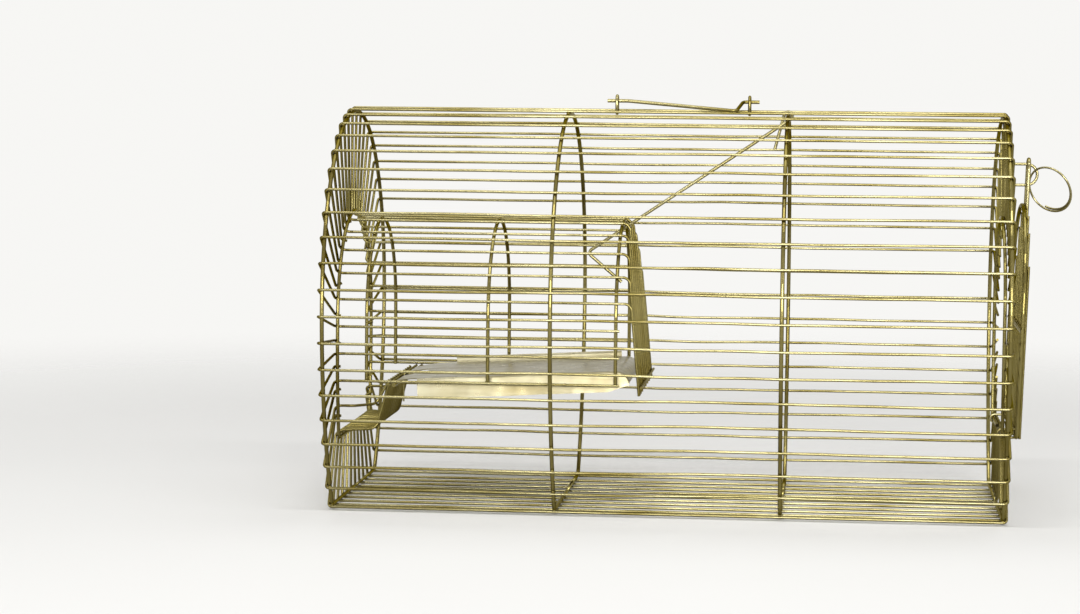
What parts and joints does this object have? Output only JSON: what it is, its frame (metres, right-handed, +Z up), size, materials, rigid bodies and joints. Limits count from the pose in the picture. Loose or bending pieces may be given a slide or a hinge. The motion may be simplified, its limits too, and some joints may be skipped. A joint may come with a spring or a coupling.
{
  "type": "rat cage trap",
  "caption": "Half-round wire cage trap for rats with an entry tunnel, a tilting plate, a bait hook, a folding carrying handle and a ring-locked rear door.",
  "frame": {"origin": "on the ground, midway between the two end hoops and on the middle plane", "axes": "+X from the entry end to the door end, +Y to the left side, +Z up"},
  "size_m": [0.4444, 0.2418, 0.251],
  "materials": {
    "hoop_wire": "thick steel wire with a yellowish zinc coat",
    "bar_wire": "thin steel wire with a yellowish zinc coat",
    "plate_sheet": "thin bent steel sheet with a bright zinc coat",
    "ring_wire": "bright split ring",
    "spring_wire": "spring wire"
  },
  "bodies": {
    "cage": {"crest_bar": "bar_wire", "door_hinge_loops": "bar_wire", "door_opening_ring": "hoop_wire", "entry_riser_bars": "bar_wire", "entry_step_bars": "bar_wire", "entry_step_rails": "bar_wire", "floor_bars": "bar_wire", "front_end_hoop": "hoop_wire", "front_face_wire_crest": "bar_wire", "front_face_wires_left": "bar_wire", "front_face_wires_lower": "bar_wire", "front_face_wires_right": "bar_wire", "front_middle_hoop": "hoop_wire", "grille_crossbar": "bar_wire", "handle_front_eye": "bar_wire", "handle_rear_eye": "bar_wire", "latch_staple": "bar_wire", "left_side_bars": "bar_wire", "mouth_ring": "hoop_wire", "pivot_rod": "bar_wire", "plate_spring": "spring_wire", "rear_end_hoop": "hoop_wire", "rear_face_wire_crest": "bar_wire", "rear_face_wires_left": "bar_wire", "rear_face_wires_lower": "bar_wire", "rear_face_wires_right": "bar_wire", "rear_middle_hoop": "hoop_wire", "right_side_bars": "bar_wire", "riser_crossbar": "bar_wire", "tunnel_bars_left": "bar_wire", "tunnel_bars_right": "bar_wire", "tunnel_crest_bar": "bar_wire", "tunnel_end_grille": "bar_wire", "tunnel_end_hoop": "hoop_wire", "tunnel_front_hoop": "hoop_wire", "tunnel_middle_hoop": "hoop_wire", "tunnel_rails": "bar_wire"},
    "plate": {"tilt_plate": "plate_sheet"},
    "door": {"door_frame": "hoop_wire", "door_bars": "bar_wire", "door_crossbar": "bar_wire", "door_tongue": "bar_wire"},
    "ring": {"latch_ring": "ring_wire"},
    "handle": {"carry_handle": "bar_wire"},
    "hook": {"bait_hook": "bar_wire"}
  },
  "joints": [
    {"name": "plate_tilt", "type": "hinge", "parent": "cage", "child": "plate", "pos_m": [-0.166, 0, 0.07393], "axis": [0, 1, 0], "range_deg": [0, 28], "stiffness_Nm_per_rad": 0.06, "springref_deg": -74.48},
    {"name": "door_swing", "type": "hinge", "parent": "cage", "child": "door", "pos_m": [0.208, 0, 0.05], "axis": [0, 1, 0], "range_deg": [0, 103], "deforming": ["latch_ring"]},
    {"name": "ring_swing", "type": "hinge", "parent": "cage", "child": "ring", "pos_m": [0.2175, 0, 0.2051], "axis": [0, 1, 0], "range_deg": [-40, 0]},
    {"name": "handle_swing", "type": "hinge", "parent": "cage", "child": "handle", "pos_m": [0, 0, 0.2469], "axis": [-1, 0, 0], "range_deg": [0, 208]},
    {"name": "hook_swing", "type": "hinge", "parent": "cage", "child": "hook", "pos_m": [0.069, -0.008, 0.23876], "axis": [0, 1, 0], "range_deg": [-50, 0]}
  ]
}
